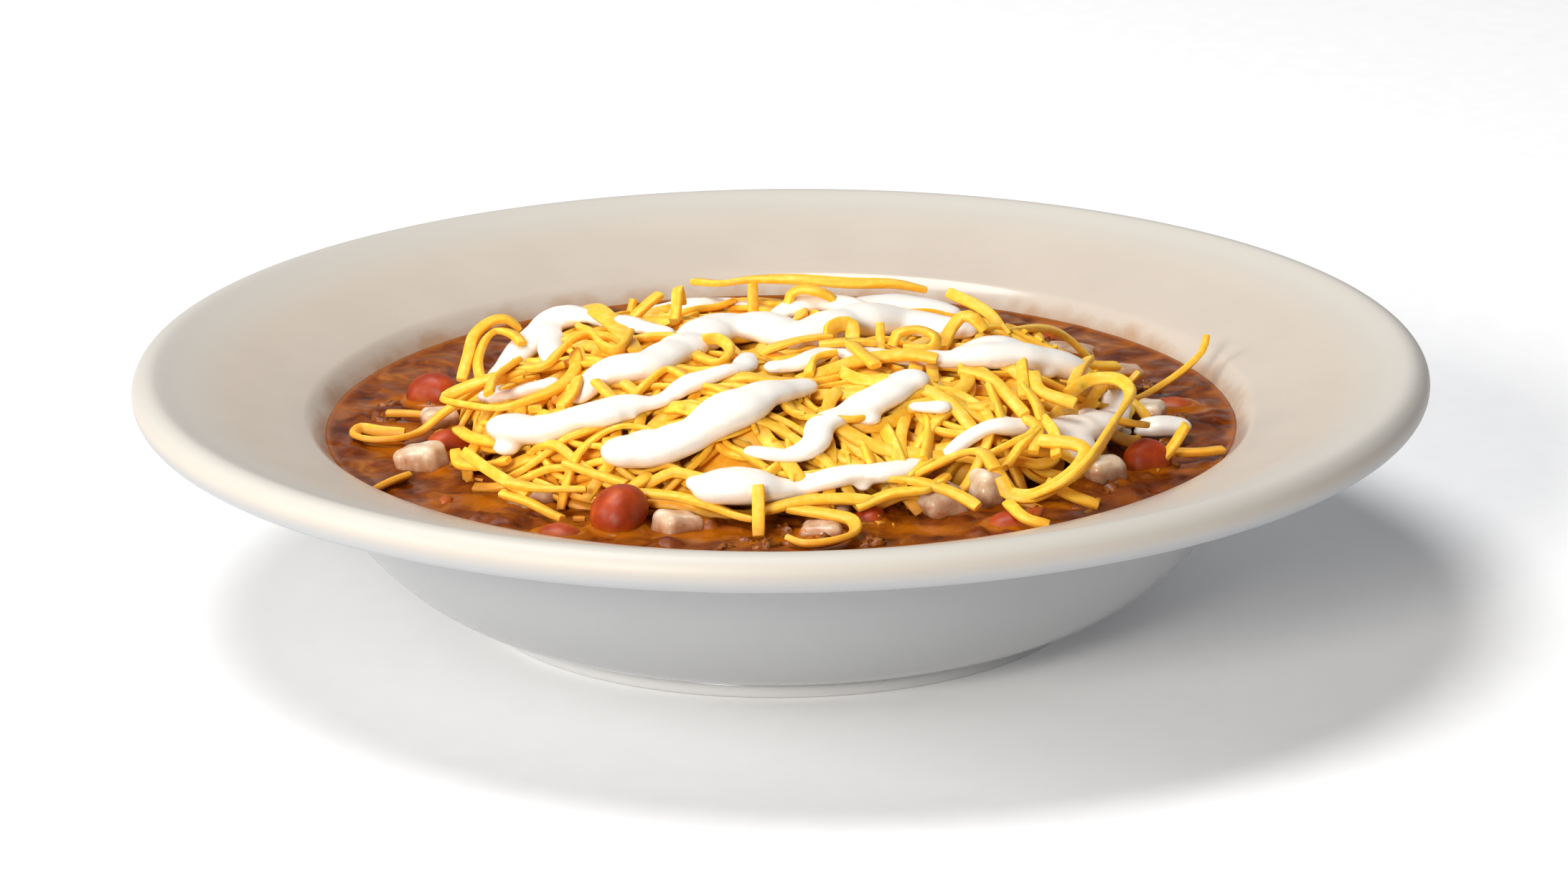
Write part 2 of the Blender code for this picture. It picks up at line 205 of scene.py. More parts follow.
def turned(profile, steps):
    """Points and faces of a profile spun about the axis; its ends lie on the axis."""
    points, faces = [(0, 0, profile[0][1])], []
    for radius, height in profile[1:-1]:
        points += ring_of(radius, height, steps)
    points.append((0, 0, profile[-1][1]))
    starts = [1 + ring * steps for ring in range(len(profile) - 2)]
    for low, high in zip(starts, starts[1:]):
        faces += band(low, high, steps)
    for i in range(steps):
        j = (i + 1) % steps
        faces.append((0, 1 + j, 1 + i))
        faces.append((starts[-1] + i, starts[-1] + j, len(points) - 1))
    return points, faces


def well_radius(height):
    wall = well_profile(60)
    return float(np.interp(height, [p[1] for p in wall[::-1]], [p[0] for p in wall[::-1]]))


foot = [np.array(p) for p in ((0, 3.4), (30, 3.4), (46.9, 3.4), (47.9, 3.1), (48.9, 1.0),
                              (49.9, 0.1), (50.7, 0.0), (54.8, 0.0), (55.6, 0.15), (56.1, 0.6),
                              (56.2, 2.2), (56.0, 2.8), (55.7, 3.1), (56.1, 3.35), (57.2, 3.5))]
body = bezier((58.4, 3.65), (70.0, 6.2), (79.6, 17.3), (86.8, 29.3), 28)
under_flange = bezier((86.8, 29.3), (90.0, 33.6), (100.0, 35.2), (110.9, 39.4), 12)
lip = arc(LIP_MIDDLE, LIP_RADIUS, -98, 108, 26)
lip_end = lip[-1]
flange = bezier(lip_end, lip_end + np.array((-1.6, -0.5)),
                (110.0, FLANGE_TOP + 22.2 * FLANGE_SLOPE + 0.25),
                (107.5, FLANGE_TOP + 20.7 * FLANGE_SLOPE), 6)
flange += [np.array((r, FLANGE_TOP + (r - FLANGE_END) * FLANGE_SLOPE))
           for r in (107.5, 102, 96, 91)]
bowl_profile = (foot + body + under_flange + lip[:-1] + flange + well_profile(28)
                + [np.array((30.0, 7.9)), np.array((0.0, FLOOR_HEIGHT))])

# Stoneware glaze, ivory: a glassy coat a little uneven from the dipping, worn duller towards
# the lip, with a smear of sauce above the chili. Faces that turn down, the outside of the body
# and the flange's underside, are painted grey: a painted shade, for the same glaze lies there.
# The foot ring is painted a lighter grey, with less of that painted shade.
glaze, glaze_shader, glaze_place = new_finish("ivory_glaze", IOR=1.42)
drift = add_node(glaze, "TexNoise", {"Vector": glaze_place}, {"Scale": 1 / (14.0 * MM)})
ivory = add_node(glaze, "ValToRGB", {"Fac": drift}, stops=[(0.35, "#C4B8AA"), (0.65, "#C7BBAD")])
where = add_node(glaze, "NewGeometry")
facing = add_node(glaze, "SeparateXYZ", {"Vector": where.outputs["Normal"]})
# painted shade: faces that turn down, the outside of the body and under the flange, are given grey
# in place of the ivory
outside = add_node(glaze, "MapRange", {"Value": facing.outputs["Z"]},
                   {"From Min": 0.25, "From Max": -0.45})
spot = add_node(glaze, "SeparateXYZ", {"Vector": where.outputs["Position"]})
near_lip = add_node(glaze, "MapRange", {"Value": spot.outputs["Z"]},
                    {"From Min": 42.0 * MM, "From Max": 45.5 * MM})
paler = add_node(glaze, "Mix", {0: near_lip, UNDER: ivory}, {OVER: linear("#C5C0B7")},
                 data_type="RGBA")
smears = add_node(glaze, "TexNoise", {"Vector": glaze_place},
                  {"Scale": 1 / (9.0 * MM), "Detail": 4.0, "Roughness": 0.6})
smear_edge = add_node(glaze, "Math", {0: smears, 2: spot.outputs["Z"]}, {1: -7.0 * MM},
                      operation="MULTIPLY_ADD")
smeared = add_node(glaze, "MapRange", {"Value": smear_edge},
                   {"From Min": 32.6 * MM, "From Max": 30.0 * MM, "To Max": 0.6})
stained = add_node(glaze, "Mix", {0: smeared, UNDER: paler.outputs[MIXED]},
                   {OVER: linear("#A8784A")}, data_type="RGBA")
shade = add_node(glaze, "Mix", {0: outside, UNDER: stained.outputs[MIXED]},
                 {OVER: linear("#ADAEB0")}, data_type="RGBA")
# the foot ring below 3.4 mm takes a lighter grey, less painted shade than the body above it
low_down = add_node(glaze, "MapRange", {"Value": spot.outputs["Z"]},
                    {"From Min": 3.4 * MM, "From Max": 3.2 * MM})
with_foot = add_node(glaze, "Mix", {0: low_down, UNDER: shade.outputs[MIXED]},
                     {OVER: linear("#D2D2D2")}, data_type="RGBA")
plug(glaze, with_foot.outputs[MIXED], glaze_shader, "Base Color")
worn = add_node(glaze, "MapRange", {"Value": spot.outputs["Z"]},
                {"From Min": 37.0 * MM, "From Max": 42.0 * MM, "To Min": 0.16, "To Max": 0.46})
plug(glaze, worn, glaze_shader, "Roughness")
peel = add_node(glaze, "TexNoise", {"Vector": glaze_place}, {"Scale": 1 / (1.2 * MM)})
peel_bump = add_node(glaze, "Bump", {"Height": peel}, {"Strength": 0.12, "Distance": 0.1 * MM})
plug(glaze, peel_bump, glaze_shader, "Normal")

bowl = build_mesh("rim_bowl", *turned(bowl_profile, BOWL_STEPS), glaze)
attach(bowl, "root")
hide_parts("bowl")

# ---------------------------------------------------------------------------------
# The chili.  A thick stew of minced beef in a brown sauce: a wet skin with crumbs of
# meat under it, pools of orange oil, and a thin orange edge where it meets the bowl.

CHILI_LEVEL = 33.4
# how far the stew's skin goes into the wall, so that no gap shows
WALL_OVERLAP = 0.35
CHILI_REACH = well_radius(CHILI_LEVEL) + WALL_OVERLAP
CHILI_INNER = 40.0
CHILI_STEPS = 900
CHILI_RINGS = 76
# heights of the rings that the unseen side goes down by
CHILI_DEPTHS = (28.0, 20.0, 12.0)
# how high the sauce climbs on what stands in it, and how fast that falls away
CLIMB = 0.9
CLIMB_WIDTH = 0.7
# pools of oil, as (x, y, half width, half depth) in mm
POOLS = [(-50, -46, 10, 6.5), (-15, -66, 9, 4.5), (4, -68, 12, 3.5), (26, -63, 9, 3.5),
         (-70, -8, 6, 14)]


def noise_at(x, y, size, seed=0.0):
    return noise.noise(Vector((x / size, y / size, seed)))


def crumb_at(x, y, size, seed, share):
    """Height from 0 to 1 of the crumb nearest to a place; only a share of cells has one."""
    distances, places = noise.voronoi(Vector((x / size, y / size, seed)))
    if noise.cell(places[0] * 7.3) > 2 * share - 1:
        return 0.0
    return max(0.0, 1 - (distances[0] / 0.52) ** 2)


def chili_surface(x, y):
    """(rise above the level, crumb, oil) at a place on the chili."""
    swell = (0.7 * noise_at(x, y, 14.0, 3.0) + 0.45 * noise_at(x, y, 5.0, 8.0)
             + 0.1 * noise_at(x, y, 2.2, 9.0))
    bent_x, bent_y = x + 3 * noise_at(x, y, 9.0, 31.0), y + 3 * noise_at(x, y, 9.0, 37.0)
    patch = min(1.0, max(0.0, 0.6 + 1.8 * noise_at(x, y, 19.0, 5.0)))
    crumb = (0.95 * crumb_at(bent_x, bent_y, 6.4, 1.0, 0.6)
             + 0.15 * crumb_at(bent_x, bent_y, 3.0, 4.0, 0.5))
    ridge = max(0.0, 1 - 5 * abs(noise_at(bent_x, bent_y, 7.0, 11.0)))
    # a clump of mince breaks the surface at the front left
    clump = max(0.0, 1 - math.hypot((x + 49) / 10, (y + 56) / 3.4) ** 2)
    patch = max(patch, clump)
    crumb += clump * (0.5 + 0.9 * noise_at(x, y, 1.9, 41.0))
    oil = max(max(0.0, 1 - math.hypot((x - px) / half_x, (y - py) / half_y) ** 2)
              for px, py, half_x, half_y in POOLS) * (1 - clump)
    oil = max(oil, min(0.8, max(0.0, noise_at(bent_x, bent_y, 11.0, 17.0) * 2.6 - 0.75)))
    rise = swell * (1 - 0.5 * oil) + patch * (1.25 * crumb + 0.3 * ridge) * (1 - 0.85 * oil)
    return rise, min(1.0, patch * (crumb + 0.4 * ridge)), oil


def waterlines():
    """(middle x, middle y, half width, half depth) of what stands in the chili, at its level."""
    for node, solid in sorted(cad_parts.items()):
        if node.startswith(("bean_", "onion_")):
            cut = np.array([v.co / MM for v in solid.data.vertices])
            cut = cut[np.abs(cut[:, 2] - CHILI_LEVEL) < 1.6]
            if len(cut) > 3:
                low, high = cut.min(axis=0), cut.max(axis=0)
                yield (*(low + high)[:2] / 2, *(high - low)[:2] / 2)


def make_chili():
    shares = np.linspace(0, 1, CHILI_RINGS)[:, None]
    angles = np.arange(CHILI_STEPS) * 2 * math.pi / CHILI_STEPS
    radii = CHILI_REACH + (CHILI_INNER - CHILI_REACH) * shares
    x, y = (radii * np.cos(angles)).ravel(), (radii * np.sin(angles)).ravel()
    rise, crumb, oil = np.array([chili_surface(*place) for place in zip(x, y)]).T
    inwards = CHILI_REACH - np.hypot(x, y)
    edge = np.exp(-((inwards - 0.3) / 0.8) ** 2)
    rise = rise * np.minimum(1.0, inwards / 4 + 0.05) + 0.35 * edge
    oil = np.maximum(oil, 0.7 * edge)
    for middle_x, middle_y, half_x, half_y in waterlines():
        away = np.hypot((x - middle_x) / half_x, (y - middle_y) / half_y) - 1
        away *= min(half_x, half_y)
        climb = np.maximum(rise, CLIMB * np.exp(-np.maximum(away, 0) / CLIMB_WIDTH) - 0.1)
        rise = np.where(away < 2.5, climb, rise)
        oil = np.maximum(oil, 0.8 * np.exp(-(np.maximum(away - 0.4, 0) / CLIMB_WIDTH) ** 2))
    points = list(zip(x, y, CHILI_LEVEL + rise))
    faces = []
    for ring in range(CHILI_RINGS - 1):
        faces += band(ring * CHILI_STEPS, (ring + 1) * CHILI_STEPS, CHILI_STEPS)
    faces.append(tuple((CHILI_RINGS - 1) * CHILI_STEPS + i for i in range(CHILI_STEPS)))
    above = 0
    for height in CHILI_DEPTHS:
        faces += band(len(points), above, CHILI_STEPS)
        above = len(points)
        points += ring_of(well_radius(height) + WALL_OVERLAP, height, CHILI_STEPS)
    faces.append(tuple(reversed(range(above, len(points)))))
    made = build_mesh("chili_stew", points, faces, sauce)
    for name, values in (("crumb", crumb), ("oil", oil)):
        layer = made.data.attributes.new(name, "FLOAT", "POINT")
        layer.data.foreach_set("value", np.pad(values, (0, len(points) - len(values))))
    return made


# Chili sauce: starchy and wet, so it shines unevenly; fat gathers in orange pools.
sauce, sauce_shader, sauce_place = new_finish("chili_sauce", IOR=1.35, Specular_IOR_Level=0.22,
                                              Subsurface_Weight=0.1, Subsurface_Scale=1.5 * MM,
                                              Subsurface_Radius=(1.0, 0.35, 0.15))
crumb_layer = add_node(sauce, "Attribute", attribute_name="crumb")
oil_layer = add_node(sauce, "Attribute", attribute_name="oil")
clouds = add_node(sauce, "TexNoise", {"Vector": sauce_place},
                  {"Scale": 1 / (7.0 * MM), "Detail": 5.0, "Roughness": 0.6, "Distortion": 0.8})
cloud_colour = add_node(sauce, "ValToRGB", {"Fac": clouds},
                        stops=[(0.32, "#3F1602"), (0.45, "#692D04"), (0.57, "#844104"),
                               (0.7, "#A55E12")])
with_crumbs = add_node(sauce, "Mix", {0: crumb_layer.outputs["Fac"], UNDER: cloud_colour},
                       {OVER: linear("#662A06")}, data_type="RGBA")
with_oil = add_node(sauce, "Mix", {0: oil_layer.outputs["Fac"], UNDER: with_crumbs.outputs[MIXED]},
                    {OVER: linear("#A85A0A")}, data_type="RGBA")
plug(sauce, with_oil.outputs[MIXED], sauce_shader, "Base Color")
wetness = add_node(sauce, "TexNoise", {"Vector": sauce_place},
                   {"Scale": 1 / (5.0 * MM), "Detail": 3.0})
wet_roughness = add_node(sauce, "MapRange", {"Value": wetness},
                         {"From Min": 0.35, "From Max": 0.65, "To Min": 0.16, "To Max": 0.5})
slick = add_node(sauce, "Mix", {0: oil_layer.outputs["Fac"], 2: wet_roughness}, {3: 0.03},
                 data_type="FLOAT")
plug(sauce, slick, sauce_shader, "Roughness")
grit = add_node(sauce, "TexNoise", {"Vector": sauce_place},
                {"Scale": 1 / (0.9 * MM), "Detail": 5.0, "Roughness": 0.6})
roughened = add_node(sauce, "Math", {0: crumb_layer.outputs["Fac"]}, {1: 1.6, 2: 0.06},
                     operation="MULTIPLY_ADD")
gritty = add_node(sauce, "Math", {0: grit, 1: roughened}, operation="MULTIPLY")
grit_bump = add_node(sauce, "Bump", {"Height": gritty}, {"Strength": 0.35, "Distance": 0.3 * MM})
plug(sauce, grit_bump, sauce_shader, "Normal")

chili = make_chili()
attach(chili, "root")
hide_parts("chili")

# ---------------------------------------------------------------------------------
# The grated cheese.  Cheddar from a coarse grater: long soft shreds with flat sides and
# cut ends, dropped one on another in a low heap.  A core lies under the loose shreds.

HEAP_MIDDLE = np.array((2.0, -7.0))
HEAP_HEIGHT = 17.0
HEAP_RADIUS = 59.3
SHRED_WIDTH = 2.1
SHRED_THICKNESS = 1.15
SHRED_STEP = 1.25
# how far a shred presses into those under it, and how much its cut ends narrow
SHRED_SINK = 0.25
END_TAPER = 0.9
MOST_SHREDS = 700
CRUMB_COUNT = 110
# the core's depth under the heap's skin, and its share of the heap's outline
CORE_DEPTH = 5.2
CORE_SHARE = 0.83
# the pile's height is kept on a square grid of cells
CELL = 0.5
GRID_LOW = -88.0
GRID_CELLS = 352
rng = np.random.default_rng(20)


def outline(angle):
    """Radius of the heap's uneven edge about its middle, with a bay at the front right."""
    from_bay = np.mod(angle + math.radians(56) + math.pi, 2 * math.pi) - math.pi
    bay = 5.5 * np.exp(-(from_bay / 0.14) ** 2)
    return (HEAP_RADIUS + 6.0 * np.cos(2 * angle) - 2.3 * np.cos(4 * angle)
            + 1.3 * np.sin(7 * angle + 0.8) + 0.9 * np.sin(13 * angle) - bay)


def heap_share(x, y):
    dx, dy = x - HEAP_MIDDLE[0], y - HEAP_MIDDLE[1]
    return np.hypot(dx, dy) / outline(np.arctan2(dy, dx))


def heap_height(x, y):
    """Height of the heap above the chili on arrays of places."""
    share = np.minimum(heap_share(x, y), 1.0)
    mound = HEAP_HEIGHT * (1 - share ** 4) ** 0.9
    shoulder = 3.2 * np.exp(-((x + 43) ** 2 + (y - 20) ** 2) / 13 ** 2)
    lumps = 1.8 * np.vectorize(lambda a, b: noise_at(a, b, 17.0))(x, y)
    return mound + (lumps + shoulder) * (1 - share ** 6)


cells = GRID_LOW + CELL * (np.arange(GRID_CELLS) + 0.5)
grid_x, grid_y = np.meshgrid(cells, cells, indexing="ij")
heap_grid = np.where(heap_share(grid_x, grid_y) < 1, heap_height(grid_x, grid_y), 0.0)
core_grid = np.maximum(heap_grid - CORE_DEPTH, 0.0) * (heap_share(grid_x, grid_y) < CORE_SHARE)
pile = CHILI_LEVEL + core_grid
goal = CHILI_LEVEL + np.maximum(heap_grid - 1.5, 0.0)


def cell_of(value):
    return np.clip(((value - GRID_LOW) / CELL).astype(int), 0, GRID_CELLS - 1)


def height_on(grid, x, y):
    return grid[cell_of(x), cell_of(y)]


def stamp(x, y, top, radius):
    """Raise the pile to a height in a disc round each place."""
    reach = int(math.ceil(radius / CELL))
    offsets = [(i, j) for i in range(-reach, reach + 1) for j in range(-reach, reach + 1)
               if math.hypot(i, j) * CELL <= radius]
    cx, cy = cell_of(x), cell_of(y)
    for i, j in offsets:
        sag = 0.35 * (math.hypot(i, j) * CELL / radius) ** 2
        place = np.clip(cx + i, 0, GRID_CELLS - 1), np.clip(cy + j, 0, GRID_CELLS - 1)
        np.maximum.at(pile, place, top - sag)


def support_under(x, y, half_width):
    """The highest of the pile across a shred's width at each of its places."""
    dx, dy = np.gradient(x), np.gradient(y)
    size = np.maximum(np.hypot(dx, dy), 1e-6)
    across_x, across_y = -dy / size * half_width, dx / size * half_width
    return np.maximum.reduce([height_on(pile, x + across_x * k, y + across_y * k)
                              for k in (-0.75, 0, 0.75)])


def settle(x, y, half_width, thickness):
    """Heights of a shred's middle line when it lies on the pile, bridging small gaps."""
    rest = support_under(x, y, half_width) + thickness / 2 - SHRED_SINK
    z = rest.copy()
    for _ in range(12):
        z[1:-1] = np.maximum(rest[1:-1], (z[:-2] + z[2:]) / 2 - 0.02)
    for _ in range(3):
        z[1:-1] = 0.25 * z[:-2] + 0.5 * z[1:-1] + 0.25 * z[2:]
    return z


class Shreds:
    """Points and faces of many shreds, gathered into one mesh."""

    def __init__(self):
        self.points, self.faces, self.uvs = [], [], []

    def add(self, x, y, z, width, thickness, roll):
        path = np.stack((x, y, z), axis=1)
        along = np.gradient(path, axis=0)
        along /= np.maximum(np.linalg.norm(along, axis=1), 1e-6)[:, None]
        side = np.cross(along[0], (0, 0, 1.0))
        if np.linalg.norm(side) < 0.2:
            side = np.cross(along[0], (0, 1.0, 0))
        corners = [(1, -0.6), (1, 0.6), (0.82, 1), (-0.82, 1), (-1, 0.6), (-1, -0.6), (-0.82, -1),
                   (0.82, -1)]
        start = sum(len(p) for p in self.points)
        rings = []
        last = len(path) - 1
        for i, (place, tangent) in enumerate(zip(path, along)):
            side = side - tangent * np.dot(side, tangent)
            side /= max(np.linalg.norm(side), 1e-6)
            up = np.cross(side, tangent)
            turn = roll[i]
            across = side * math.cos(turn) + up * math.sin(turn)
            over = up * math.cos(turn) - side * math.sin(turn)
            scale = END_TAPER if i in (0, last) else 1.0
            rings.append([place + across * u * width * scale / 2 + over * v * thickness * scale / 2
                          for u, v in corners])
        self.points.append(np.array(rings).reshape(-1, 3))
        count = len(corners)
        length = np.concatenate(([0], np.cumsum(np.linalg.norm(np.diff(path, axis=0), axis=1))))
        offset = rng.random() * 40
        for i in range(last):
            self.faces += band(start + i * count, start + (i + 1) * count, count)
            here, there = length[i] + offset, length[i + 1] + offset
            for left, right in zip(np.arange(count) / count, np.arange(1, count + 1) / count):
                self.uvs += [(left, here), (right, here), (right, there), (left, there)]
        for first, order in ((start, range(count - 1, -1, -1)),
                             (start + last * count, range(count))):
            self.faces.append(tuple(first + k for k in order))
            self.uvs += [(k / count, offset) for k in order]

    def finish(self, name, material):
        made = build_mesh(name, np.concatenate(self.points), self.faces, material)
        layer = made.data.uv_layers.new(name="grain")
        layer.data.foreach_set("uv", np.array(self.uvs, float).ravel())
        made.data.set_sharp_from_angle(angle=math.radians(60))
        return made


# Cheddar: waxy and a little translucent, so light that passes through it turns deep
# orange in the gaps.  The grater leaves fine lines along each shred, about 4 mm long and
# eleven round it; the UV map goes once round a shred and runs in millimetres along it.
cheddar, cheddar_shader, cheddar_place = new_finish("cheddar", IOR=1.38, Subsurface_Weight=0.5,
                                                    Subsurface_Scale=1.5 * MM, Roughness=0.45,
                                                    Subsurface_Radius=(1.0, 0.6, 0.1))
grain_uv = add_node(cheddar, "UVMap", uv_map="grain")
grain_scale = add_node(cheddar, "Mapping", {"Vector": grain_uv}, {"Scale": (7.0, 0.16, 1.0)})
grain = add_node(cheddar, "TexNoise", {"Vector": grain_scale}, {"Scale": 1.6, "Detail": 3.0})
patchy = add_node(cheddar, "TexNoise", {"Vector": cheddar_place},
                  {"Scale": 1 / (1.2 * MM), "Detail": 3.0})
both = add_node(cheddar, "Math", {0: grain, 1: patchy}, operation="ADD")
halved = add_node(cheddar, "Math", {0: both}, {1: 0.5}, operation="MULTIPLY")
dry_colour = add_node(cheddar, "ValToRGB", {"Fac": halved},
                      stops=[(0.34, "#FAB028"), (0.5, "#FEBE38"), (0.66, "#FFCE5C")])
height = add_node(cheddar, "SeparateXYZ", {"Vector": cheddar_place})
soaked = add_node(cheddar, "MapRange", {"Value": height.outputs["Z"]},
                  {"From Min": 36.6 * MM, "From Max": 34.0 * MM, "To Max": 0.75})
cheddar_colour = add_node(cheddar, "Mix", {0: soaked, UNDER: dry_colour},
                          {OVER: linear("#B06A1C")}, data_type="RGBA")
plug(cheddar, cheddar_colour.outputs[MIXED], cheddar_shader, "Base Color")
grain_bump = add_node(cheddar, "Bump", {"Height": grain},
                      {"Strength": 0.25, "Distance": 0.12 * MM})
plug(cheddar, grain_bump, cheddar_shader, "Normal")


def make_core():
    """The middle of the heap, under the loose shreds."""
    points, faces = [], []
    shares = (CORE_SHARE, 0.8, 0.74, 0.64, 0.5, 0.3, 0.1)
    steps = 120
    angles = np.arange(steps) * 2 * math.pi / steps
    rim = outline(angles)
    foot_rim = (CORE_SHARE - 0.01) * rim
    points += list(zip(HEAP_MIDDLE[0] + foot_rim * np.cos(angles),
                       HEAP_MIDDLE[1] + foot_rim * np.sin(angles),
                       np.full(steps, CHILI_LEVEL - 1.0)))
    for share in shares:
        x = HEAP_MIDDLE[0] + share * rim * np.cos(angles)
        y = HEAP_MIDDLE[1] + share * rim * np.sin(angles)
        z = CHILI_LEVEL + np.maximum(heap_height(x, y) - CORE_DEPTH, 0.2)
        points += list(zip(x, y, z))
    for ring in range(len(shares)):
        faces += band(ring * steps, (ring + 1) * steps, steps)
    faces.append(tuple(len(shares) * steps + i for i in range(steps)))
    faces.append(tuple(reversed(range(steps))))
    return build_mesh("cheese_core", points, faces, cheddar)


def wander(count, length):
    """Plans of several loose shreds at once: smooth lines whose bend changes slowly."""
    steps = max(8, int(length / SHRED_STEP))
    s = np.arange(steps) * SHRED_STEP
    bend = rng.uniform(0.03, 0.1, (count, 1))
    curl = rng.normal(0, 0.045, (count, 1))
    waves = 0
    for share, slowest, fastest in ((1, 0.03, 0.09), (0.35, 0.12, 0.22)):
        pace = rng.uniform(slowest, fastest, (count, 1))
        waves += share * np.sin(s * pace + rng.uniform(0, 6.28, (count, 1)))
    heading = rng.uniform(0, 6.28, (count, 1))
    heading = heading + np.cumsum((bend * waves + curl) * SHRED_STEP, axis=1)
    angle = rng.uniform(0, 6.28, (count, 1))
    away = np.sqrt(rng.uniform(0.0, 1.0, (count, 1))) * outline(angle)
    x = np.cumsum(np.cos(heading), axis=1) * SHRED_STEP
    y = np.cumsum(np.sin(heading), axis=1) * SHRED_STEP
    x += HEAP_MIDDLE[0] + away * np.cos(angle) - x.mean(axis=1, keepdims=True)
    y += HEAP_MIDDLE[1] + away * np.sin(angle) - y.mean(axis=1, keepdims=True)
    return x, y


def rolls(steps):
    s = np.arange(steps) * SHRED_STEP
    lean, pace, phase = rng.uniform(-0.6, 0.6), rng.uniform(0.03, 0.12), rng.uniform(0, 6.28)
    return lean + 0.45 * np.sin(s * pace + phase)


def grate_heap(shreds):
    """Lay shreds where the heap most lacks them, until it has its height."""
    for _ in range(MOST_SHREDS):
        length = float(np.clip(rng.normal(54, 16), 18, 84))
        x, y = wander(30, length)
        room = height_on(goal, x, y) - height_on(pile, x, y)
        outside = np.maximum(heap_share(x, y) - 0.99, 0).mean(axis=1)
        worth = room.mean(axis=1) + 0.5 * room.min(axis=1) - 60 * outside
        best = int(np.argmax(worth))
        if room[best].mean() < 0.1:
            return
        px, py = x[best], y[best]
        width = SHRED_WIDTH * rng.uniform(0.75, 1.3)
        thickness = SHRED_THICKNESS * rng.uniform(0.75, 1.1)
        z = settle(px, py, width / 2, thickness)
        shreds.add(px, py, z, width, thickness, rolls(len(px)))
        stamp(px, py, z + thickness / 2, width / 2)


heap_shreds = Shreds()
grate_heap(heap_shreds)
for turn, away in zip(rng.uniform(0, 2 * math.pi, CRUMB_COUNT),
                      rng.uniform(0.5, 1.12, CRUMB_COUNT)):
    x, y = HEAP_MIDDLE + away * outline(turn) * np.array((math.cos(turn), math.sin(turn)))
    size, heading = rng.uniform(0.5, 1.1), rng.uniform(0, math.pi)
    px = x + size * math.cos(heading) * np.arange(3)
    py = y + size * math.sin(heading) * np.arange(3)
    heap_shreds.add(px, py, support_under(px, py, 0.4) + 0.3, size, size * 0.8,
                    np.full(3, heading))
core = make_core()
loose = heap_shreds.finish("cheese_shreds", cheddar)
for piece in (core, loose):
    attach(piece, "root")
    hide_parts("cheese")

# ---------------------------------------------------------------------------------
# The sour cream.  Stirred until it pours, then drizzled over the cheese in thick ribbons
# that sag between the shreds and end in round drops.  Rows are (x, y, half width) in mm.

RIBBONS = {
    "sour_cream_1": [[(-36, -27, 1.7), (-31, -20, 3.4), (-24, -20, 4.1), (-17, -8, 4.3),
                      (-11, 3, 4.6), (-4, 3, 4.6), (3, -4, 4.3), (10, 1, 4.6), (18, 8, 4.8),
                      (26, 8, 4.1), (33, 3, 2.9)],
                     [(1, 15, 2.6), (7, 18, 3.4), (13, 14, 3.4), (18, 9, 3.6)],
                     [(23, 11, 1.3), (27, 11, 1.5)]],
    "sour_cream_2": [[(-48, -31, 4.1), (-43, -35, 4.3), (-37, -37, 3.6), (-32, -38, 4.3),
                      (-28, -36, 3.1), (-22, -35, 2.2), (-17, -31, 2.4), (-12, -28, 2.4),
                      (-7, -24, 2.2), (-6, -17, 1.9)]],
    "sour_cream_3": [[(-26.5, -47, 4.8), (-22, -47, 5.0), (-15, -45, 4.8), (-8, -42, 4.8),
                      (-2, -36, 4.3), (4, -30, 2.9)]],
    "sour_cream_4": [[(-5, -50, 1.7), (1, -50, 2.2), (6, -48, 2.6), (7, -44, 2.6),
                      (11, -40, 2.9), (17, -36, 3.6), (23, -30, 3.6)]],
    "sour_cream_5": [[(-10.5, -56, 4.4), (-6, -56, 4.8), (0, -55, 3.4), (6, -54, 2.6),
                      (12, -53, 2.9), (18, -52, 3.4), (23, -49, 2.4)]],
    "sour_cream_6": [[(29, -46, 1.4), (35, -43, 2.0), (41, -39, 2.6), (46, -35, 3.0),
                      (51, -32, 3.8), (55, -27, 4.2), (58, -20, 3.6), (60, -12, 3.0),
                      (60, -5, 2.2)],
                     [(50, -32, 3.0), (53, -36, 2.8)],
                     [(24, -37, 1.7), (28, -38, 2.0)]],
    "sour_cream_7": [[(-1, -22, 1.9), (4, -20, 2.4), (8, -14, 2.4), (15, -14, 2.4),
                      (22, -14, 2.6), (30, -15, 3.4), (38, -13, 4.1), (46, -10, 4.1),
                      (52, -8, 3.1)],
                     [(33, -12, 3.2), (39, -8, 3.6), (45, -7, 3.0)]],
    "sour_cream_8": [[(-53, -7, 2.0), (-50, 2, 2.6), (-46, 11, 2.9), (-41, 18, 3.4),
                      (-34, 14, 2.6), (-27, 5, 2.3), (-21, 0, 1.7)],
                     [(-43, 15, 2.9), (-42, 6, 2.4), (-42, -2, 1.9)],
                     [(-53, -7, 1.8), (-48, -13, 2.0), (-41, -16, 1.7)]],
    "sour_cream_9": [[(-19, 22, 1.9), (-14, 25, 2.4), (-8, 26, 1.9)],
                     [(-8, 26, 1.6), (-6, 23, 1.2)]],
    "sour_cream_10": [[(-33, 31, 3.1), (-22, 34, 3.8), (-8, 36, 3.6), (6, 34, 4.1),
                       (20, 32, 3.8), (31, 29, 2.9)]],
    "sour_cream_11": [[(67, -12, 2.9), (71, -12, 2.9)]],
}
CREAM_VOXEL = 0.5
CREAM_ROUNDS = 10
CREAM_FLATNESS = 0.5
CREAM_SPACING = 1.3
THINNEST_CREAM = 1.2
LOBE_CHANCE = 0.22


def smooth_path(rows, spacing):
    """Evenly spaced rows on a Catmull-Rom curve through the given ones."""
    rows = [np.array(row, float) for row in rows]
    guides = [2 * rows[0] - rows[1]] + rows + [2 * rows[-1] - rows[-2]]
    path = []
    for before, here, there, after in zip(guides, guides[1:], guides[2:], guides[3:]):
        steps = max(1, round(np.linalg.norm((there - here)[:2]) / spacing))
        for t in np.linspace(0, 1, steps, endpoint=False):
            path.append(0.5 * (2 * here + (there - before) * t
                               + (2 * before - 5 * here + 4 * there - after) * t ** 2
                               + (3 * here - before - 3 * there + after) * t ** 3))
    return np.array(path + [rows[-1]])


